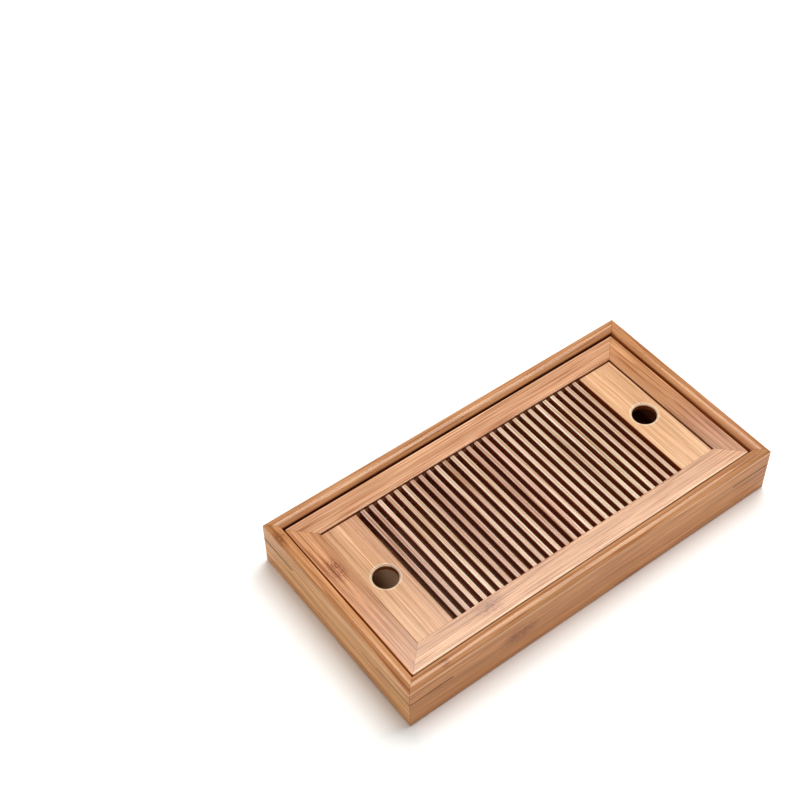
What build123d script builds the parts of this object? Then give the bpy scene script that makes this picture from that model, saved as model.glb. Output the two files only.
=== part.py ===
"""Gongfu tea tray: a bamboo base frame, a loose water tray and a lift-off slatted lid.

Millimetres, +Z up. The origin is in the middle of the tray, on the surface it stands on.
X runs along the tray, and the front rail is on the -Y side.
"""
import math
import os

from build123d import *

os.makedirs("parts", exist_ok=True)

# Overall size
tray_length = 270.0
tray_width = 140.0
tray_height = 35.0

# Base rail: a moulded rim, a seat for the lid and a groove for the bottom panel
rail_depth = 15.0
rim_width = 8.0
frame_corner_radius = 0.5
foot_bevel = 0.6
foot_inner_bevel = 0.5
seat_bevel = 0.4

# Rim moulding: a wide crown arc with a tighter shoulder arc on each side of it, in degrees
crown_depth = 3.8
crown_radius = 5.5
outer_shoulder_turn = 35.0
inner_shoulder_turn = 40.0

# Bottom panel
panel_thickness = 4.0
panel_recess = 2.5
panel_tongue = 5.0
panel_fit = 0.1
panel_end_gap = 0.4

# Corner keys: thin triangular slips in kerfs across the mitres
key_leg = 29.5
key_thickness = 1.2
key_below_seat = 2.0
key_fit = 0.05

# Water tray
water_tray_gap = 1.2
water_tray_headroom = 2.5
water_tray_wall = 1.6
water_tray_lean = 5.0
water_tray_corner = 9.0
water_tray_flange = 4.0
water_tray_flange_thickness = 1.8
water_tray_flange_fillet = 0.6
water_tray_foot_fillet = 3.0

# Lid frame
lid_gap = 1.2
lid_sink = 3.4
lid_thickness = 7.6
lid_rail_width = 14.6
lid_corner_radius = 1.0
lid_edge_radius = 0.6
lid_foot_bevel = 0.5

# Boards and slats in the lid frame
field_drop = 1.6
field_thickness = 5.0
field_edge_gap = 0.3
board_length = 24.7
slat_count = 28
slat_width = 2.8
slat_bevel = 0.4
board_bevel = 0.35
tongue_thickness = 2.6
tongue_length = 4.0
tongue_shoulder = 0.3
tongue_fit = 0.1

# Finger holes
finger_hole_diameter = 15.5
finger_hole_bevel = 0.9

# Length by which a cutting block runs past what it cuts
overrun = 1.0

# Places worked out from the sizes above
up = Vector(0, 0, 1)
crown_centre = tray_height - crown_radius
seat_height = tray_height - lid_sink - lid_thickness
key_height = seat_height - key_below_seat
panel_top = panel_recess + panel_thickness
lid_length = tray_length - 2 * (rim_width + lid_gap)
lid_width = tray_width - 2 * (rim_width + lid_gap)
field_length = lid_length - 2 * lid_rail_width
field_width = lid_width - 2 * lid_rail_width
field_top = seat_height + lid_thickness - field_drop
field_middle = field_top - field_thickness / 2
slotted_length = field_length - 2 * (board_length + field_edge_gap)
slot_width = (slotted_length - slat_count * slat_width) / (slat_count + 1)
slat_pitch = slat_width + slot_width
board_centre = slotted_length / 2 + board_length / 2
board_width = field_width - 2 * field_edge_gap
tongue_run = board_length - tongue_shoulder + field_edge_gap + tongue_length
tongue_centre = slotted_length / 2 + tongue_shoulder + tongue_run / 2


def side_planes(length, width, side, height):
    """Planes for a rail: its section (inwards, up) and its plan (along, inwards)."""
    places = {
        "front": ((0, -width / 2, height), (0, 1, 0)),
        "back": ((0, width / 2, height), (0, -1, 0)),
        "left": ((-length / 2, 0, height), (1, 0, 0)),
        "right": ((length / 2, 0, height), (-1, 0, 0)),
    }
    origin, inwards = places[side]
    along = Vector(inwards).cross(up)
    section = Plane(origin=origin, x_dir=inwards, z_dir=along)
    plan = Plane(origin=origin, x_dir=along, z_dir=up)
    return section, plan


def shoulder(reach, turn):
    """Radius and centre height of the arc from the crown arc's end down to an upright side."""
    sine = math.sin(math.radians(turn))
    radius = (reach - crown_radius * sine) / (1 - sine)
    centre = crown_centre + (crown_radius - radius) * math.cos(math.radians(turn))
    return radius, centre


def rail_run(length, width, side):
    """Outside length of the rail on one side of a frame."""
    return length if side in ("front", "back") else width


def mitre_corners(run, depth):
    """Plan corners of a mitred rail, whose inner edge is shorter than its outer one."""
    return (
        (-run / 2, 0),
        (run / 2, 0),
        (run / 2 - depth, depth),
        (-run / 2 + depth, depth),
    )


# Base rails
outer_radius, outer_centre = shoulder(crown_depth, outer_shoulder_turn)
inner_radius, inner_centre = shoulder(rim_width - crown_depth, inner_shoulder_turn)
crown_turn = outer_shoulder_turn + inner_shoulder_turn
for side in ("front", "back", "left", "right"):
    run = rail_run(tray_length, tray_width, side)
    section, plan = side_planes(tray_length, tray_width, side, 0)
    with BuildPart() as base_rail:
        with BuildSketch(section):
            with BuildLine():
                body = Polyline(
                    (foot_bevel, 0),
                    (rail_depth - foot_inner_bevel, 0),
                    (rail_depth, foot_inner_bevel),
                    (rail_depth, panel_recess),
                    (rail_depth - panel_tongue, panel_recess),
                    (rail_depth - panel_tongue, panel_top + panel_fit),
                    (rail_depth, panel_top + panel_fit),
                    (rail_depth, seat_height - seat_bevel),
                    (rail_depth - seat_bevel, seat_height),
                    (rim_width, seat_height),
                    (rim_width, inner_centre),
                )
                CenterArc(
                    (rim_width - inner_radius, inner_centre),
                    inner_radius,
                    start_angle=0,
                    arc_size=90 - inner_shoulder_turn,
                )
                CenterArc(
                    (crown_depth, crown_centre),
                    crown_radius,
                    start_angle=90 - inner_shoulder_turn,
                    arc_size=crown_turn,
                )
                outer_shoulder = CenterArc(
                    (outer_radius, outer_centre),
                    outer_radius,
                    start_angle=90 + outer_shoulder_turn,
                    arc_size=90 - outer_shoulder_turn,
                )
                Polyline(outer_shoulder @ 1, (0, foot_bevel), body @ 0)
            make_face()
        extrude(amount=run / 2, both=True)
        with BuildSketch(plan):
            Polygon(*mitre_corners(run, rail_depth), align=None)
        extrude(amount=tray_height + overrun, mode=Mode.INTERSECT)
        with BuildSketch():
            RectangleRounded(tray_length, tray_width, frame_corner_radius)
        extrude(amount=tray_height + overrun, mode=Mode.INTERSECT)
        with BuildSketch(plan.offset(key_height - key_thickness / 2)):
            for end in (-1, 1):
                kerf_end = end * run / 2
                kerf_start = end * (run / 2 - key_leg)
                Polygon((kerf_end, 0), (kerf_start, 0), (kerf_end, key_leg), align=None)
        extrude(amount=key_thickness, mode=Mode.SUBTRACT)
    base_rail.part.label = f"base_{side}_rail"
    export_step(base_rail.part, f"parts/base_{side}_rail.step")

# Corner keys
for side_y, row in ((-1, "front"), (1, "back")):
    for side_x, column in ((-1, "left"), (1, "right")):
        corner_x = side_x * tray_length / 2
        corner_y = side_y * tray_width / 2
        slip = key_leg - key_fit
        with BuildPart() as corner_key:
            with BuildSketch(Plane.XY.offset(key_height - key_thickness / 2 + key_fit)):
                Polygon(
                    (corner_x, corner_y),
                    (corner_x - side_x * slip, corner_y),
                    (corner_x, corner_y - side_y * slip),
                    align=None,
                )
            extrude(amount=key_thickness - 2 * key_fit)
            with BuildSketch():
                RectangleRounded(tray_length, tray_width, frame_corner_radius)
            extrude(amount=tray_height, mode=Mode.INTERSECT)
        corner_key.part.label = f"corner_key_{row}_{column}"
        export_step(corner_key.part, f"parts/corner_key_{row}_{column}.step")

# Bottom panel, let into the grooves of the base rails
panel_inset = rail_depth - panel_tongue + panel_end_gap
with BuildPart() as bottom_panel:
    with BuildSketch(Plane.XY.offset(panel_recess)):
        Rectangle(tray_length - 2 * panel_inset, tray_width - 2 * panel_inset)
    extrude(amount=panel_thickness)
bottom_panel.part.label = "bottom_panel"
export_step(bottom_panel.part, "parts/bottom_panel.step")

# Water tray: a basin with leaning walls and a flange, loose on the bottom panel
flange_length = tray_length - 2 * (rail_depth + water_tray_gap)
flange_width = tray_width - 2 * (rail_depth + water_tray_gap)
basin_length = flange_length - 2 * water_tray_flange
basin_width = flange_width - 2 * water_tray_flange
basin_corner = water_tray_corner - water_tray_flange / 2
water_tray_top = seat_height - water_tray_headroom
water_tray_height = water_tray_top - panel_top
with BuildPart() as water_tray:
    with BuildSketch(Plane.XY.offset(water_tray_top)):
        RectangleRounded(basin_length, basin_width, basin_corner)
    extrude(amount=-water_tray_height, taper=water_tray_lean)
    fillet(water_tray.edges().group_by(Axis.Z)[0], water_tray_foot_fillet)
    with BuildSketch(Plane.XY.offset(water_tray_top - water_tray_flange_thickness)):
        RectangleRounded(flange_length, flange_width, water_tray_corner)
    extrude(amount=water_tray_flange_thickness)
    fillet(water_tray.edges().group_by(Axis.Z)[-1], water_tray_flange_fillet)
    with BuildSketch(Plane.XY.offset(water_tray_top)):
        RectangleRounded(
            basin_length - 2 * water_tray_wall,
            basin_width - 2 * water_tray_wall,
            basin_corner - water_tray_wall,
        )
    extrude(amount=water_tray_wall - water_tray_height, taper=water_tray_lean, mode=Mode.SUBTRACT)
    basin_floor = water_tray.faces().filter_by(Plane.XY).sort_by(Axis.Z)[1]
    fillet(basin_floor.edges(), water_tray_foot_fillet - water_tray_wall)
water_tray.part.label = "water_tray"
export_step(water_tray.part, "parts/water_tray.step")

# Lid rails: mitred, with pockets for the tongues of the boards and the tenons of the slats
pocket_depth = tongue_length + tongue_fit
pocket_height = tongue_thickness + 2 * tongue_fit
mortise_width = slat_width - 2 * tongue_shoulder + 2 * tongue_fit
for side in ("front", "back", "left", "right"):
    run = rail_run(lid_length, lid_width, side)
    section, plan = side_planes(lid_length, lid_width, side, seat_height)
    pocket_plan = plan.offset(field_middle - seat_height - pocket_height / 2)
    with BuildPart() as lid_rail:
        with BuildSketch(section):
            with BuildLine():
                foot = Polyline(
                    (0, lid_foot_bevel),
                    (lid_foot_bevel, 0),
                    (lid_rail_width - lid_foot_bevel, 0),
                    (lid_rail_width, lid_foot_bevel),
                    (lid_rail_width, lid_thickness - lid_edge_radius),
                )
                inner_edge = RadiusArc(
                    foot @ 1, (lid_rail_width - lid_edge_radius, lid_thickness), -lid_edge_radius
                )
                top = Line(inner_edge @ 1, (lid_edge_radius, lid_thickness))
                outer_edge = RadiusArc(top @ 1, (0, lid_thickness - lid_edge_radius), -lid_edge_radius)
                Line(outer_edge @ 1, foot @ 0)
            make_face()
        extrude(amount=run / 2, both=True)
        with BuildSketch(plan):
            Polygon(*mitre_corners(run, lid_rail_width), align=None)
        extrude(amount=lid_thickness + overrun, mode=Mode.INTERSECT)
        with BuildSketch():
            RectangleRounded(lid_length, lid_width, lid_corner_radius)
        extrude(amount=tray_height, mode=Mode.INTERSECT)
        pocket_centre = lid_rail_width - pocket_depth / 2
        if side in ("front", "back"):
            with BuildSketch(pocket_plan):
                with Locations((0, pocket_centre)):
                    with GridLocations(slat_pitch, 0, slat_count, 1):
                        Rectangle(mortise_width, pocket_depth)
                for end in (-1, 1):
                    with Locations((end * tongue_centre, pocket_centre)):
                        Rectangle(tongue_run + 2 * tongue_fit, pocket_depth)
            extrude(amount=pocket_height, mode=Mode.SUBTRACT)
        else:
            with BuildSketch(pocket_plan):
                with Locations((0, pocket_centre)):
                    Rectangle(field_width + 2 * pocket_depth, pocket_depth)
            extrude(amount=pocket_height, mode=Mode.SUBTRACT)
    lid_rail.part.label = f"lid_{side}_rail"
    export_step(lid_rail.part, f"parts/lid_{side}_rail.step")

# Lid boards, with a tongue on three sides and a finger hole
for side, hand in (("left", -1), ("right", 1)):
    with BuildPart() as lid_board:
        with BuildSketch(Plane.XY.offset(field_top - field_thickness)):
            with Locations((hand * board_centre, 0)):
                Rectangle(board_length, board_width)
        extrude(amount=field_thickness)
        chamfer(lid_board.edges().group_by(Axis.Z)[-1], board_bevel)
        with BuildSketch(Plane.XY.offset(field_middle - tongue_thickness / 2)):
            with Locations((hand * tongue_centre, 0)):
                Rectangle(tongue_run, field_width + 2 * tongue_length)
        extrude(amount=tongue_thickness)
        with Locations((hand * board_centre, 0, field_top)):
            Hole(finger_hole_diameter / 2, field_thickness)
        hole_edges = lid_board.edges().filter_by(GeomType.CIRCLE)
        chamfer(hole_edges, finger_hole_bevel)
    lid_board.part.label = f"lid_{side}_board"
    export_step(lid_board.part, f"parts/lid_{side}_board.step")

# Slats, with a tenon at each end
slat_length = field_width - 2 * field_edge_gap
for number in range(1, slat_count + 1):
    slat_x = (number - (slat_count + 1) / 2) * slat_pitch
    with BuildPart() as slat:
        with BuildSketch(Plane.XY.offset(field_top - field_thickness)):
            with Locations((slat_x, 0)):
                Rectangle(slat_width, slat_length)
        extrude(amount=field_thickness)
        chamfer(slat.edges().group_by(Axis.Z)[-1].filter_by(Axis.Y), slat_bevel)
        with BuildSketch(Plane.XY.offset(field_middle - tongue_thickness / 2)):
            with Locations((slat_x, 0)):
                Rectangle(slat_width - 2 * tongue_shoulder, field_width + 2 * tongue_length)
        extrude(amount=tongue_thickness)
    slat.part.label = f"slat_{number:02d}"
    export_step(slat.part, f"parts/slat_{number:02d}.step")
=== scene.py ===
# %% [markdown]
# # A bamboo tea tray
#
# The tray is a moulded bamboo frame with a plastic water tray inside and a slatted lid that
# lifts out. Its wood was cut and joined in CAD, so every rail, board and slat comes in as a
# mesh that already has the right size. What is left for Blender is what a photographer and a
# finisher would do: place the camera, set soft light, and give bamboo and plastic their look.

# %% Load the frame
import math

import bmesh
import bpy
from mathutils import Matrix, Vector

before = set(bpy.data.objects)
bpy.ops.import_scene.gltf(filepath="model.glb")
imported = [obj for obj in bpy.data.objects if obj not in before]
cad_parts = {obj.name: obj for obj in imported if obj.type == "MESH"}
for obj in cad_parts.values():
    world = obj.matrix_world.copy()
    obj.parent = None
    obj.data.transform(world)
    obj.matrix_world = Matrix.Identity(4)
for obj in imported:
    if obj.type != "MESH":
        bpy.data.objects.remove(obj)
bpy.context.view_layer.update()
MM = 0.001

# %% [markdown]
# ## The camera
#
# A camera can be placed by eye, or worked out from known points. Here the tray's corners were
# matched to the photograph, which gives where the camera stood, what it looked at and how long
# its lens was. A small roll about the line of sight is kept, because nobody holds a camera
# perfectly level.

# %% Place the camera
camera_place = Vector((-375.31, -403.77, 729.87)) * MM
camera_target = Vector((2.92, 122.55, 0.0)) * MM
camera_roll = math.radians(-1.661)
camera_lens = 68.044
sensor_width = 36.0
nearest_seen = 0.01

camera = bpy.data.objects.new("camera", bpy.data.cameras.new("camera"))
bpy.context.scene.collection.objects.link(camera)
camera.data.lens = camera_lens
camera.data.sensor_width = sensor_width
camera.data.clip_start = nearest_seen
camera.location = camera_place
line_of_sight = (camera_target - camera_place).to_track_quat("-Z", "Y").to_matrix()
camera.rotation_euler = (line_of_sight @ Matrix.Rotation(camera_roll, 3, "Z")).to_euler()
bpy.context.scene.camera = camera
print("camera stands", round((camera_target - camera_place).length / MM), "mm from its target")

# %% [markdown]
# ## Writing shader maths as sums
#
# A material is a net of nodes. Drawing it by hand is slow, and code that adds and links each
# node is long. So one small class wraps an output socket: adding or multiplying two of them
# adds the Math node that does it, and one method adds any other node.


# %% A socket that Python can calculate with
class Wire:
    """An output socket of a material's node. Sums on it add nodes."""

    def __init__(self, socket):
        self.socket = socket

    def make(self, kind, settings, sockets, out=0):
        """Adds a node: its settings first, then the values or links of its sockets."""
        tree = self.socket.id_data
        node = tree.nodes.new("ShaderNode" + kind)
        for name, value in settings.items():
            setattr(node, name, value)
        for name, value in sockets.items():
            if isinstance(value, Wire):
                tree.links.new(value.socket, node.inputs[name])
            else:
                node.inputs[name].default_value = value
        return Wire(node.outputs[out])

    def sum(self, operation, *values):
        """Adds a Math node that does this to the values."""
        return self.make("Math", {"operation": operation}, dict(enumerate(values)))

    def __add__(self, other):
        return self.sum("ADD", self, other)

    def __sub__(self, other):
        return self.sum("SUBTRACT", self, other)

    def __rsub__(self, other):
        return self.sum("SUBTRACT", other, self)

    def __mul__(self, other):
        return self.sum("MULTIPLY", self, other)

    def __truediv__(self, other):
        return self.sum("DIVIDE", self, other)

    def __rtruediv__(self, other):
        return self.sum("DIVIDE", other, self)

    def __abs__(self):
        return self.sum("ABSOLUTE", self)

    __radd__ = __add__
    __rmul__ = __mul__

    def rounded_down(self):
        """The whole number below this value."""
        return self.sum("FLOOR", self)

    def greater(self, other):
        """The greater of two values."""
        return self.sum("MAXIMUM", self, other)

    def part(self, axis):
        """One coordinate of a vector."""
        return self.make("SeparateXYZ", {}, {0: self}, "XYZ".index(axis))

    def stretch(self, x, y, z):
        """A place with each coordinate scaled, to draw a pattern out along one of them."""
        return self.make("VectorMath", {"operation": "MULTIPLY"}, {0: self, 1: (x, y, z)})

    def noise(self, detail=2.0, roughness=0.5, twist=0.0):
        """Soft random values from 0 to 1 at this place."""
        values = {"Vector": self, "Scale": 1.0, "Detail": detail}
        values.update({"Roughness": roughness, "Distortion": twist})
        return self.make("TexNoise", {}, values)

    def rise(self, low, high):
        """0 at the low value, 1 at the high one, and an even slope between."""
        return self.make("MapRange", {}, {0: self, 1: low, 2: high})

    def rise_mm(self, low, high):
        """The same for a length, between two limits in mm."""
        return self.rise(low * MM, high * MM)

    def mix(self, first, second):
        """A colour between two, at this share of the way."""
        return self.make("Mix", {"data_type": "RGBA"}, {0: self, 6: first, 7: second}, 2)

    def tint(self, shares, amount):
        """This colour times the given shares of red, green and blue, by some amount."""
        settings = {"data_type": "RGBA", "blend_type": "MULTIPLY"}
        return self.make("Mix", settings, {0: amount, 6: self, 7: (*shares, 1.0)}, 2)


print("wires ready")

# %% [markdown]
# ## Light and floor
#
# A product photograph has broad, soft light. Here a big softbox hangs over the tray, moved a
# little to the back right, so that the shadow falls to the left and the front and the lacquer
# on the lid mirrors its edge. A low white card on the left brightens that side. The floor is
# white paper: it looks pure white to the camera and still takes the tray's shadow.


# %% Colours as a painter names them
def colour(red, green, blue):
    """A screen colour of 0 to 255 as the light that Blender works with."""
    shares = [channel / 255 for channel in (red, green, blue)]
    linear = [s / 12.92 if s < 0.04045 else ((s + 0.055) / 1.055) ** 2.4 for s in shares]
    return (*linear, 1.0)


print("half grey on screen is this much light:", round(colour(128, 128, 128)[0], 3))


# %% Build a lamp that faces the tray
def softbox(name, direction, distance, sides, brightness, turn=0.0):
    """A flat lamp that faces the tray. Its power follows from how bright it should look.

    The direction is in degrees: round from the back to the right, and up from the floor.
    """
    azimuth, height = (math.radians(angle) for angle in direction)
    flat = math.cos(height)
    towards = Vector((math.sin(azimuth) * flat, math.cos(azimuth) * flat, math.sin(height)))
    lamp = bpy.data.lights.new(name, "AREA")
    lamp.shape = "RECTANGLE"
    lamp.size, lamp.size_y = sides
    lamp.energy = brightness * sides[0] * sides[1] * math.pi
    stand = bpy.data.objects.new(name, lamp)
    bpy.context.scene.collection.objects.link(stand)
    stand.location = towards * distance
    tilt = Vector((0, 0, 1)).rotation_difference(towards).to_matrix()
    stand.rotation_euler = (tilt @ Matrix.Rotation(math.radians(turn), 3, "Z")).to_euler()


print("softbox ready")

# %% Set the light
softbox("softbox", (63, 72), distance=1.4, sides=(0.95, 0.90), brightness=5.4, turn=-12)
softbox("white_card", (-70, 7), distance=1.3, sides=(0.6, 0.8), brightness=2.0)

room_light = 0.27
world = bpy.data.worlds.new("studio")
bpy.context.scene.world = world
world.use_nodes = True
sky = world.node_tree.nodes["Background"]
sky.inputs["Color"].default_value = (1.0, 1.0, 1.0, 1.0)
sky.inputs["Strength"].default_value = room_light
bpy.context.scene.view_settings.view_transform = "Standard"


# %% Start and finish a material
def new_material(name):
    """An empty material, and the place on its object as a wire to start from."""
    material = bpy.data.materials.new(name)
    material.use_nodes = True
    nodes = material.node_tree.nodes
    nodes.clear()
    return material, Wire(nodes.new("ShaderNodeTexCoord").outputs["Object"])


def show(material, shader):
    """Links the finished shader to the material's output."""
    out = material.node_tree.nodes.new("ShaderNodeOutputMaterial")
    material.node_tree.links.new(shader.socket, out.inputs["Surface"])


print("materials can be started and finished")

# %% Lay the floor
floor_size = 6.0
shape = bmesh.new()
bmesh.ops.create_grid(shape, x_segments=1, y_segments=1, size=floor_size / 2)
floor_mesh = bpy.data.meshes.new("floor")
shape.to_mesh(floor_mesh)
shape.free()
floor = bpy.data.objects.new("floor", floor_mesh)
bpy.context.scene.collection.objects.link(floor)
print("floor is", floor_size, "m wide")

# %% Cover the floor with white paper
# To the camera, and in mirrors and glass, the paper shines this much more than paper can, so
# that its lit part is pure white. The light that it throws on the tray stays a real paper's.
paper_gain = 0.45
paper, on_paper = new_material("white_paper")
rays = on_paper.make("LightPath", {}, {}).socket.node.outputs
seen = Wire(rays["Is Camera Ray"]).greater(Wire(rays["Is Glossy Ray"]))
seen = seen.greater(Wire(rays["Is Transmission Ray"]))
plain_paper = on_paper.make("BsdfDiffuse", {}, {"Color": colour(247, 250, 247)})
gain = on_paper.make("BsdfDiffuse", {}, {"Color": (paper_gain, paper_gain, paper_gain, 1.0)})
bright_paper = on_paper.make("AddShader", {}, {0: plain_paper, 1: gain})
show(paper, on_paper.make("MixShader", {}, {0: seen, 1: plain_paper, 2: bright_paper}))
floor.data.materials.append(paper)
print("floor material:", paper.name)

# %% [markdown]
# ## Bamboo
#
# Bamboo board is made of thin strips glued side by side. Each strip has its own tint, and
# fibres run dead straight along it with short dark flecks between them. Every so often the
# cane had a joint, called a knot here, which shows as a small mottled patch. A picture of
# bamboo could be wrapped round each piece, but it would break off at the edges. Here all is
# drawn from the place on the piece, so it runs on from one face to the next as real wood does.
#
# Each shade below is a share of the wood's own colour, in red, green and blue. A share above
# 1 is paler than the wood.

# %% Name the shades in a piece of bamboo
dark_fibres, pale_fibres = (0.80, 0.75, 0.70), (1.18, 1.21, 1.25)
dark_hairs, pale_hairs = (0.66, 0.47, 0.34), (1.28, 1.36, 1.46)
flecks, blush, glue = (0.74, 0.62, 0.52), (0.97, 0.93, 0.98), (0.80, 0.70, 0.62)
knot_patch, knot_arcs = (0.80, 0.68, 0.64), (0.42, 0.28, 0.22)
mitre_glue = (0.45, 0.34, 0.28)
warm_lacquer, cream_lacquer = (1.0, 0.84, 0.64, 1.0), (1.0, 0.93, 0.86, 1.0)
print("dark hairs keep", dark_hairs[0], "of the wood's red and", dark_hairs[2], "of its blue")

# %% Name the tray's own measures
# They are in mm, from the tray's middle and from the table up.
tray_half_length, tray_half_width, rim_top = 135.0, 70.0, 35.0
well_half_length, well_half_width = 127.0, 62.0
lid_half_length, lid_half_width, lid_top = 125.8, 60.8, 31.6
slat_top, slat_pitch, slots_half_length = 30.0, 6.041, 87.0
hole_place, hole_radius = 98.55, 7.75
basin_floor = 8.1
mitre_line = tray_half_length - tray_half_width
print("the mitres run along |x| - |y| =", mitre_line, "mm")


# %% Draw the fibres
fibre_waves, thread_waves = 620, 2600


def fibre_patterns(place, grain, hair):
    """Random patterns drawn out along the grain, from 0 to 1. A hair's width is in mm."""

    def drawn(along, across):
        """The place with so many waves per metre along the grain and across it."""
        return place.stretch(*[along if axis == grain else across for axis in "XYZ"])

    return {
        "fibres": drawn(9, fibre_waves).noise(4.0, 0.62),
        "threads": drawn(40, thread_waves).noise(2.0),
        "streaks": drawn(3, 210).noise(2.0),
        "clouds": drawn(9, 40).noise(2.0),
        "blushes": drawn(7, 90).noise(3.0),
        "flecks": drawn(260, 2100).noise(1.0).rise(0.58, 0.70),
        "dark hairs": drawn(20, 1000 / hair).noise(1.0, 0.5).rise(0.53, 0.62),
        "pale hairs": drawn(17, 900 / hair).noise(1.0, 0.5).rise(0.54, 0.63),
        "arcs": abs(drawn(300, 520).noise(2.0, 0.5, 1.6) - 0.5).rise(0.070, 0.03),
    }


print("a fibre is about", round(1000 / fibre_waves, 1), "mm wide")


# %% Draw the strips, the knots and the mitres
def glued_strips(place, grain, width, shift):
    """Two random values for each strip, and 1 along the seams between the strips."""
    across = place.part("Y" if grain == "X" else "X") + place.part("Z")
    strips = across / (width * MM) + shift
    number = strips.rounded_down()
    luck = number.make("TexWhiteNoise", {"noise_dimensions": "1D"}, {"W": number})
    hue_luck = number.make("TexWhiteNoise", {"noise_dimensions": "1D"}, {"W": number + 40.5})
    return luck, hue_luck, abs(strips - number - 0.5).rise(0.47, 0.5)


def with_knots(body, place, knots, patterns):
    """The wood's colour with a mottled patch at each knot: its middle and reach are in mm."""
    for centre, reach, strength in knots:
        scaled = place.stretch(*[1 / (size * MM) for size in reach])
        middle = [-spot / size for spot, size in zip(centre, reach)]
        offset = scaled.make("VectorMath", {"operation": "ADD"}, {0: scaled, 1: middle})
        ring = offset.make("VectorMath", {"operation": "LENGTH"}, {0: offset}, 1)
        patch = (ring + patterns["fibres"] * 0.8).rise(1.45, 0.65) * strength
        body = body.tint(knot_patch, patch)
        body = body.tint(knot_arcs, patch * patterns["arcs"])
    return body


def with_mitres(body, place):
    """The wood's colour with a thin dark glue line along the frame's four mitres."""
    from_line = abs(abs(place.part("X")) - abs(place.part("Y")) - mitre_line * MM)
    return body.tint(mitre_glue, from_line.rise_mm(0.35, 0.1) * 0.6)


print("strips, knots and mitres are drawn over the fibres")


# %% Mix the wood's colour
def wood_colour(wood, patterns, strips, depth):
    """The wood's colour, varied by fibres and strips. Depth is how strongly hairs show."""
    luck, hue_luck, seams = strips
    # The shares of the four patterns in the tone add up to 1.
    tone = patterns["fibres"] * 0.46 + patterns["streaks"] * 0.18
    tone = tone + patterns["clouds"] * 0.20 + luck * 0.16
    dark, pale = (
        (*[channel * share for channel, share in zip(wood, shares)], 1.0)
        for shares in (dark_fibres, pale_fibres)
    )
    body = tone.rise(0.36, 0.64).mix(dark, pale)
    body = body.tint(blush, (patterns["blushes"] + hue_luck * 0.4).rise(0.60, 0.95))
    body = body.tint(dark_hairs, patterns["dark hairs"] * (0.72 * depth))
    body = body.tint(pale_hairs, patterns["pale hairs"] * (0.80 * depth))
    body = body.tint(flecks, patterns["flecks"] * 0.34)
    return body.tint(glue, seams * 0.45)


print("from its dark fibres to its pale ones a wood goes from", dark_fibres, "to", pale_fibres)


# %% Lacquer the wood
relief_height = 0.05
polish, dullness, coat = 0.12, 0.30, 0.20


def lacquered(place, body, patterns, dull, lacquer, index):
    """The shader of lacquered wood, dull where its lacquer is worn off."""
    relief = patterns["fibres"] * 0.5 + patterns["threads"] * 0.4
    relief = relief - patterns["flecks"] * 0.25 - patterns["dark hairs"] * 0.3
    heights = {"Strength": 0.45, "Distance": relief_height * MM, "Height": relief}
    bump = place.make("Bump", {}, heights)
    finish = {"Base Color": body, "Normal": bump, "Specular Tint": lacquer, "IOR": index}
    finish["Roughness"] = patterns["fibres"] * 0.10 + (dull * dullness + polish)
    finish["Coat Weight"] = coat - dull * coat
    finish["Coat Roughness"] = 0.15
    return place.make("BsdfPrincipled", {}, finish)


print("the fibres stand up to", relief_height, "mm proud under the lacquer")


# %% Write the bamboo recipe
def bamboo(
    name, grain, wood, strip=6.0, shift=0.0, turn=0.0, hair=0.9, depth=1.0,
    mitred=False, knots=(), tints=(), matt=None, lacquer=warm_lacquer, index=1.5,
):
    """A bamboo finish: the axis that its grain runs along and the wood's colour come first.

    The widths of strips and hairs are in mm, and depth is how strongly the hairs show. A tint
    is a pair of where it goes and its shares, and matt says where the lacquer is worn off.
    """
    material, place = new_material(name)
    if turn:
        turned = {"Vector": place, "Angle": turn}
        place = place.make("VectorRotate", {"rotation_type": "Z_AXIS"}, turned)
    patterns = fibre_patterns(place, grain, hair)
    body = wood_colour(wood, patterns, glued_strips(place, grain, strip, shift), depth)
    for where, shares in tints:
        body = body.tint(shares, where(place))
    body = with_knots(body, place, knots, patterns)
    if mitred:
        body = with_mitres(body, place)
    dull = matt(place) if matt else 0.0
    show(material, lacquered(place, body, patterns, dull, lacquer, index))
    return material


print("the lacquer's gloss is", warm_lacquer[:3])

# %% [markdown]
# ## Painted shade, painted highlights and darker strips
#
# Some tints here are painted light and shade: painted shade darkens the slots, the gap round
# the lid and the holes' walls, and painted highlights make edges and faces paler. Some strips came
# from a darker cane. Each of these is a tint with a small function that says where it goes: 1
# where the tint is full, 0 where there is none, and a soft edge between.


# %% Say where a tint goes on any piece
soft_edge = 0.3


def everywhere(place):
    """The whole piece."""
    return 1.0


def band(axis, centre, half_width, soft=soft_edge):
    """A straight band across the piece."""
    return lambda place: abs(place.part(axis) - centre * MM).rise_mm(half_width + soft, half_width)


def beyond(place, half_length, half_width, soft):
    """Outside a rectangle round the tray's middle, with its soft edge inside."""
    past_ends = abs(place.part("X")).rise_mm(half_length - soft, half_length)
    past_sides = abs(place.part("Y")).rise_mm(half_width - soft, half_width)
    return past_ends.greater(past_sides)


print("a band fades over", soft_edge, "mm, if nothing else is said")


# %% Say where the base frame gets painted shade and painted light
def rim_wall(place):
    """The base frame's wall behind the lid's edge, painted dark as the shade in the gap."""
    inside = 1 - beyond(place, well_half_length + 0.3, well_half_width + 0.3, soft_edge)
    below_rim = place.part("Z").rise_mm(rim_top - 2.8, rim_top - 3.4)
    return inside * below_rim * place.part("Z").rise_mm(rim_top - 9, rim_top - 7)


def outer_face(place):
    """The upright outer faces of the base frame, below the moulding: painted lighter as painted
    light, and dull.
    """
    outside = beyond(place, tray_half_length - 0.1, tray_half_width - 0.1, 0.2)
    return outside * place.part("Z").rise_mm(rim_top - 2.1, rim_top - 2.7)


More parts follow.
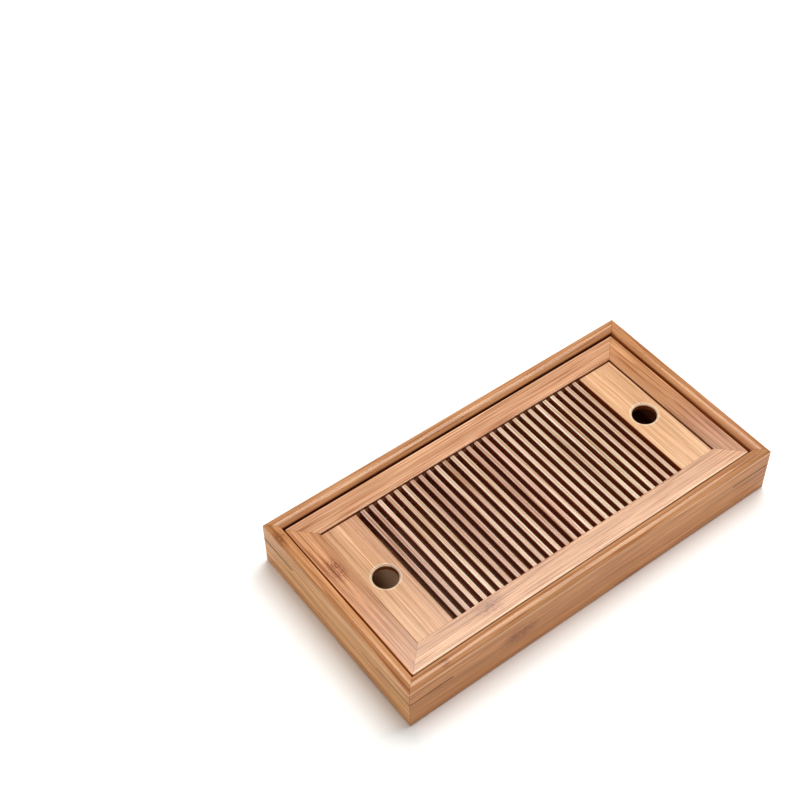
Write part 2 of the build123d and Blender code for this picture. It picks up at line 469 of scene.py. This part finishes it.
def painted_highlight_line(place):
    """A painted highlight along the line at which the front's moulding meets its face."""
    at_face = abs(place.part("Y")).rise_mm(tray_half_width - 0.6, tray_half_width - 0.3)
    return at_face * abs(place.part("Z") - (rim_top - 2.4) * MM).rise_mm(1.1, 0.6)


def inner_shoulder(place):
    """A line of painted shade along the front rail, where its moulding falls towards the lid."""
    on_front_rim = band("Y", 4.9 - tray_half_width, 0.6, 0.6)(place)
    return on_front_rim * place.part("Z").rise_mm(rim_top - 2.0, rim_top - 1.5)


print("the front's moulding meets its face", rim_top - 2.4, "mm above the table")


# %% Say where the lid's frame gets painted shade, highlights and reflection
def lid_sides(place):
    """A line of painted shade below the lid's top edge, where the gap round the lid is dark."""
    below_edge = place.part("Z").rise_mm(lid_top - 0.4, lid_top - 0.9)
    return below_edge * place.part("Z").rise_mm(lid_top - 3.2, lid_top - 2.0)


def top_edge(place):
    """The height of the lid's rounded top edge."""
    return place.part("Z").rise_mm(lid_top - 0.8, lid_top - 0.4)


def lid_edge(place):
    """The outer top edge of the lid frame, painted paler as a highlight."""
    outside = beyond(place, lid_half_length - 0.6, lid_half_width - 0.6, soft_edge)
    return outside * top_edge(place)


def front_edge(place):
    """The front top edge of the lid, painted pale as a highlight."""
    at_front = place.part("Y").rise_mm(2.0 - lid_half_width, 1.0 - lid_half_width)
    return at_front * top_edge(place)


def mauve_end(place):
    """The front half of the right lid rail, painted mauve as the reflection of a darker surround.
    """
    return band("X", 119, 8)(place) * place.part("Y").rise_mm(5, -25)


print("the lid is", 2 * lid_half_length, "by", 2 * lid_half_width, "mm")


# %% Say where the boards and slats get painted shade and highlights
def slot_sides(place):
    """The sides of the slats and of the boards' ends, painted darker below the top edge as the
    shade in the slots.
    """
    near_slots = abs(place.part("X")).rise_mm(slots_half_length + 0.5, slots_half_length)
    return near_slots * place.part("Z").rise_mm(slat_top - 0.25, slat_top - 1.0)


def slat_edges(place):
    """The bevelled edges along each slat, worn and painted pale as a highlight."""
    slats = place.part("X") / (slat_pitch * MM)
    beside_middle = abs(slats - slats.rounded_down() - 0.5).rise(0.12, 0.15)
    return beside_middle * place.part("Z").rise_mm(slat_top - 0.55, slat_top - 0.4)


def from_hole(place):
    """The distance from the middle of the nearer finger hole."""
    x = abs(place.part("X")) - hole_place * MM
    y = place.part("Y")
    squares = x * x + y * y
    return squares.sum("SQRT", squares)


def hole_bevel(place):
    """The bevel round a finger hole, painted pale as a highlight."""
    near = from_hole(place).rise_mm(hole_radius + 1.6, hole_radius + 1.35)
    return near * place.part("Z").rise_mm(slat_top - 1.0, slat_top - 0.8)


def hole_wall(place):
    """The wall of a finger hole, painted dark as shade."""
    near = from_hole(place).rise_mm(hole_radius + 0.45, hole_radius + 0.15)
    return near * place.part("Z").rise_mm(slat_top - 0.8, slat_top - 1.0)


print("the finger holes are", 2 * hole_place, "mm apart and", 2 * hole_radius, "mm wide")

# %% [markdown]
# ## One recipe, eight woods
#
# The frame's rails are the colour of caramel, the lid is paler, and its boards and slats are
# the palest. Long and short rails need a finish each, because their grain runs along the rail.
# One finished material could be copied and changed seven times, but with a recipe that is
# called with other values, a better fibre is written once and all eight woods get it.

# %% Mix the bamboo for the base frame
finishes = {}
finishes["base_long_bamboo"] = bamboo(
    "caramel_rail_long", "X", colour(211, 149, 99), hair=1.3, mitred=True, matt=outer_face,
    tints=[
        # Painted shade: the wall in the gap round the lid is darkened.
        (rim_wall, (0.16, 0.085, 0.05)),
        # Painted light: the outer faces are painted lighter.
        (outer_face, (1.16, 1.08, 0.90)),
        # A painted highlight where the front's moulding meets its face.
        (painted_highlight_line, (1.46, 1.66, 1.86)),
        # Painted shade on the inner side of the front moulding.
        (inner_shoulder, (0.84, 0.80, 0.78)),
    ],
    knots=[((-59, -70, 20), (15, 4, 9), 0.9), ((-108.6, -66.5, 35), (4, 3, 3), 0.8)],
)
# Here too the wall in the gap is painted shade and the outer faces are painted lighter as painted
# light.
finishes["base_short_bamboo"] = bamboo(
    "caramel_rail_short", "Y", colour(215, 151, 97), hair=1.3, depth=1.1,
    mitred=True, matt=outer_face,
    tints=[(rim_wall, (0.95, 0.58, 0.28)), (outer_face, (1.16, 1.27, 1.22))],
    knots=[((-132, 55, 35), (5, 8, 4), 0.8)],
)
# The keys lie across the corners, so their grain does too. The back left one is the darkest.
finishes["key_bamboo"] = bamboo(
    "dark_key", "X", colour(150, 104, 70), turn=math.radians(45), matt=everywhere,
    lacquer=(0.5, 0.4, 0.3, 1.0), index=1.1, tints=[(band("X", -145, 30), (0.12, 0.10, 0.08))],
)
finishes["panel_bamboo"] = bamboo("panel", "X", colour(206, 146, 98), strip=18.0)
print("base finishes:", list(finishes))

# %% Mix the bamboo for the lid's frame
# Painted shade for the gap round the lid.
painted_gap_shade = (0.26, 0.13, 0.08)
finishes["lid_long_bamboo"] = bamboo(
    "lid_rail_long", "X", colour(235, 178, 132), strip=7.0, depth=1.2,
    mitred=True, lacquer=cream_lacquer,
    # Painted shade below the lid's top edge, and painted highlights on its outer and front edges.
    tints=[(lid_sides, painted_gap_shade), (lid_edge, (1.2, 1.3, 1.4)), (front_edge, (1.10, 1.28, 1.42))],
    knots=[((-66, -52, 31.6), (11, 6, 4), 0.8)],
)
finishes["lid_short_bamboo"] = bamboo(
    "lid_rail_short", "Y", colour(219, 157, 106), strip=7.0, depth=1.3,
    mitred=True, lacquer=cream_lacquer,
    # Painted shade below the top edge, a painted highlight on the outer edge, and a painted
    # reflection.
    tints=[(lid_sides, painted_gap_shade), (lid_edge, (1.1, 1.1, 1.1)), (mauve_end, (0.86, 0.83, 0.90))],
    knots=[((-119, 20, 31.6), (6, 11, 4), 1.0)],
)
print("grime keeps", painted_gap_shade, "of the wood's light")

# %% Mix the bamboo for the boards and slats
finishes["board_bamboo"] = bamboo(
    "pale_board", "Y", colour(240, 187, 140), strip=8.0, depth=0.75,
    tints=[
        (band("X", -89.0, 3.6), (0.77, 0.73, 0.76)),
        # Painted shade on the sides of the slots.
        (slot_sides, (0.56, 0.20, 0.09)),
        # Painted shade on the holes' walls.
        (hole_wall, (0.40, 0.17, 0.08)),
        # A painted highlight on the holes' bevels.
        (hole_bevel, (1.22, 1.65, 2.1)),
    ],
)
# Each slat is one strip. The bands are groups of slats that came from darker or paler canes.
finishes["slat_bamboo"] = bamboo(
    "slat", "Y", colour(229, 187, 152), strip=slat_pitch, shift=0.03,
    tints=[
        (band("X", -78.5, 6), (0.84, 0.76, 0.78)),
        (band("X", -39.3, 9), (0.90, 0.80, 0.82)),
        (band("X", 3.0, 9), (0.92, 0.82, 0.86)),
        (band("X", 75.5, 9), (0.92, 0.88, 0.88)),
        (band("X", 46, 16, 6), (1.04, 1.13, 1.12)),
        # Painted shade on the sides of the slots.
        (slot_sides, (0.54, 0.19, 0.085)),
        # Painted highlights on the slats' edges, which are also worn.
        (slat_edges, (1.38, 1.80, 2.2)),
    ],
)
print("bamboo finishes:", len(finishes))

# %% [markdown]
# ## The water tray
#
# The basin under the lid is a plain tan plastic moulding. Its floor is darkened with painted
# shade, so the slots and the right finger hole look dark. Its left end is not darkened and shows
# through the left finger hole. The basin itself is one plain colour. The painted shade is one more
# tint on it, and a noise makes its edge ragged.

# %% Mould the plastic
plastic, on_tray = new_material("brown_plastic")
grain = on_tray.stretch(900, 900, 900).noise(3.0)
scuffs = on_tray.stretch(40, 9, 40).noise(3.0, 0.6)
tan = scuffs.rise(0.3, 0.7).mix(colour(172, 130, 92), colour(188, 146, 106))

# Painted shade: the basin's floor is darkened from near its left end to the right.
ragged = on_tray.stretch(35, 35, 35).noise(3.0) * (16 * MM)
past_left_end = (on_tray.part("X") + ragged).rise_mm(-77, -67)
inside_walls = abs(on_tray.part("Y")).rise_mm(46.5, 45)
near_floor = on_tray.part("Z").rise_mm(basin_floor + 1.9, basin_floor + 0.9)
not_underneath = on_tray.part("Z").rise_mm(basin_floor - 0.5, basin_floor - 0.2)
painted_shade_pool = past_left_end * inside_walls * near_floor * not_underneath
shaded_tan = tan.tint((0.30, 0.17, 0.11), painted_shade_pool)

dimples = on_tray.make("Bump", {}, {"Strength": 0.1, "Distance": 0.05 * MM, "Height": grain})
surface = {"Base Color": shaded_tan, "Roughness": scuffs * 0.10 + 0.30, "Normal": dimples}
surface.update({"IOR": 1.49, "Specular Tint": warm_lacquer})
show(plastic, on_tray.make("BsdfPrincipled", {}, surface))
finishes["tray_plastic"] = plastic
print("finishes in all:", len(finishes))

# %% [markdown]
# ## Dressing the pieces
#
# Each piece from CAD has one material slot, named after what the piece is made of. Filling the
# slots is all that is done to the pieces: their shapes stay as they were built.

# %% Dress the pieces
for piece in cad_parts.values():
    slot = piece.material_slots[0].name
    piece.material_slots[0].material = finishes[slot]
print("dressed", len(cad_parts), "pieces")
